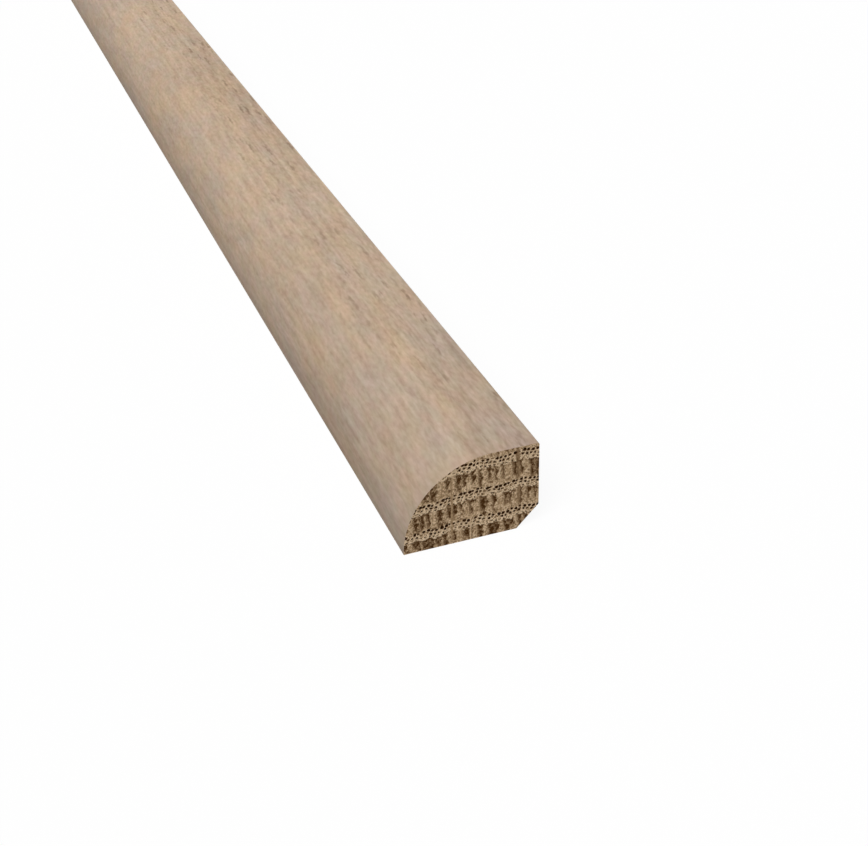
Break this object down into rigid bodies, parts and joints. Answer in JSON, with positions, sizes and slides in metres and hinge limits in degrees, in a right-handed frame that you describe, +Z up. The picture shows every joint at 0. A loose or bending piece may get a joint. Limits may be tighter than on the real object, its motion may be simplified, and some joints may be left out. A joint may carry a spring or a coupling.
{
  "type": "shoe moulding",
  "caption": "Length of solid oak shoe moulding with a quarter-round nose, a flat crown and a relieved heel, for covering the gap between a skirting board and a floor.",
  "frame": {"origin": "middle of the rectangle that the moulding covers on the floor when it lies on its wide back", "axes": "+Y along the length, away from the near end; +Z up, from the back to the crown; +X across the back, from the toe to the foot"},
  "size_m": [0.019, 1.9812, 0.0127],
  "materials": {
    "finished_oak": "matte"
  },
  "bodies": {
    "root": {"shoe_moulding": "finished_oak"}
  },
  "joints": []
}
